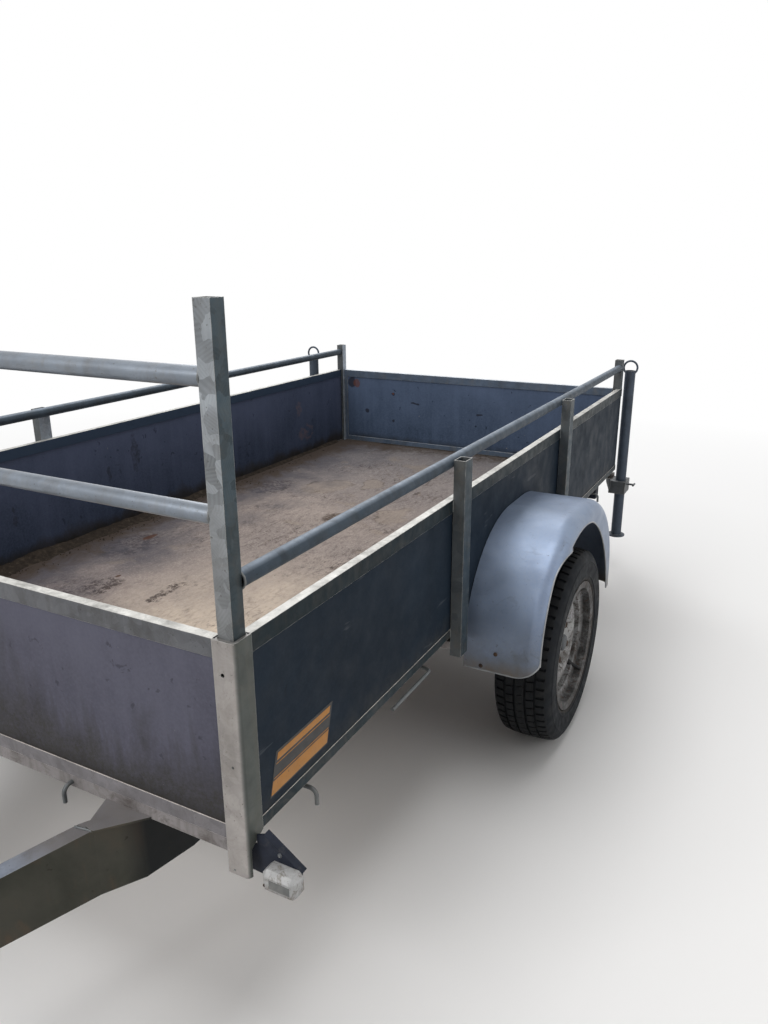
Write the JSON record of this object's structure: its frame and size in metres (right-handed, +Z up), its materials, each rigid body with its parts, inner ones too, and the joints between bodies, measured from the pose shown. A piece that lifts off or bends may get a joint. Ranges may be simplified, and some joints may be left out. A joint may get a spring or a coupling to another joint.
{
  "type": "utility trailer",
  "caption": "Single-axle box trailer with plywood sides, tube headboard and side rails, V drawbar, ball coupling, jockey wheel, rear prop stands and drop tailgate.",
  "frame": {"origin": "on the ground below the middle of the bounding box", "axes": "+Z up, -Y towards the towing end, +X to the trailer's left"},
  "size_m": [1.732, 4.0562, 1.272],
  "materials": {
    "galvanised": "zinc coated, weathered",
    "panel_ply": "film faced plywood, scuffed",
    "floor_ply": "weathered plywood",
    "coupling_steel": "zinc coated, worn",
    "rim_paint": "silver paint, dirty",
    "hub_iron": "rusty",
    "tyre_rubber": "worn, dusty",
    "jockey_rubber": "solid rubber, dusty",
    "lamp_plastic": "stained lens",
    "black_plastic": "dull"
  },
  "bodies": {
    "chassis": {"side_edgings": "galvanised", "front_edging": "galvanised", "corner_posts_front": "galvanised", "corner_posts_rear": "galvanised", "headboard_posts": "galvanised", "headboard_tubes": "galvanised", "side_rails": "galvanised", "stakes": "galvanised", "end_beams": "galvanised", "crossmembers": "galvanised", "side_beams": "galvanised", "drawbar_leg_left": "galvanised", "drawbar_leg_right": "galvanised", "nose_tube": "galvanised", "axle_tube": "galvanised", "trailing_arms": "galvanised", "fender_left": "galvanised", "fender_right": "galvanised", "prop_clamps": "galvanised", "jockey_outer_tube": "galvanised", "jockey_clamp": "galvanised", "hinge_brackets": "galvanised", "rope_hooks": "galvanised", "lamp_bar": "galvanised", "front_panel": "panel_ply", "side_panels": "panel_ply", "floor_board": "floor_ply", "coupling_head": "coupling_steel", "coupling_neck": "coupling_steel", "coupling_lever": "coupling_steel", "jockey_crank": "coupling_steel", "marker_lamps": "lamp_plastic", "rear_lamps": "lamp_plastic", "marker_brackets": "black_plastic"},
    "tailgate": {"tailgate_panel": "panel_ply", "tailgate_edging": "galvanised", "tailgate_straps": "galvanised"},
    "wheel_left": {"rim_left": "rim_paint", "tyre_left": "tyre_rubber", "hub_left": "hub_iron"},
    "wheel_right": {"rim_right": "rim_paint", "tyre_right": "tyre_rubber", "hub_right": "hub_iron"},
    "stand_left": {"prop_stand_left": "galvanised"},
    "stand_right": {"prop_stand_right": "galvanised"},
    "jockey_mast": {"jockey_inner_tube": "galvanised"},
    "jockey_castor": {"jockey_fork": "galvanised"},
    "jockey_roll": {"jockey_wheel": "jockey_rubber"}
  },
  "joints": [
    {"name": "wheel_left_spin", "type": "hinge", "parent": "chassis", "child": "wheel_left", "pos_m": [0.781, 0.6481, 0.273], "axis": [1, 0, 0], "continuous": true},
    {"name": "wheel_right_spin", "type": "hinge", "parent": "chassis", "child": "wheel_right", "pos_m": [-0.781, 0.6481, 0.273], "axis": [1, 0, 0], "continuous": true},
    {"name": "tailgate_hinge", "type": "hinge", "parent": "chassis", "child": "tailgate", "pos_m": [0, 1.9271, 0.456], "axis": [-1, 0, 0], "range_deg": [0, 170]},
    {"name": "stand_left_slide", "type": "slide", "parent": "chassis", "child": "stand_left", "axis": [0, 0, 1], "range_m": [-0.15, 0.18]},
    {"name": "stand_right_slide", "type": "slide", "parent": "chassis", "child": "stand_right", "axis": [0, 0, 1], "range_m": [-0.16, 0.165]},
    {"name": "jockey_height", "type": "slide", "parent": "chassis", "child": "jockey_mast", "axis": [0, 0, 1], "range_m": [0, 0.1]},
    {"name": "jockey_swivel", "type": "hinge", "parent": "jockey_mast", "child": "jockey_castor", "pos_m": [0, -1.5769, 0.216], "axis": [0, 0, 1], "continuous": true},
    {"name": "jockey_spin", "type": "hinge", "parent": "jockey_castor", "child": "jockey_roll", "pos_m": [0, -1.5369, 0.1], "axis": [1, 0, 0], "continuous": true}
  ]
}
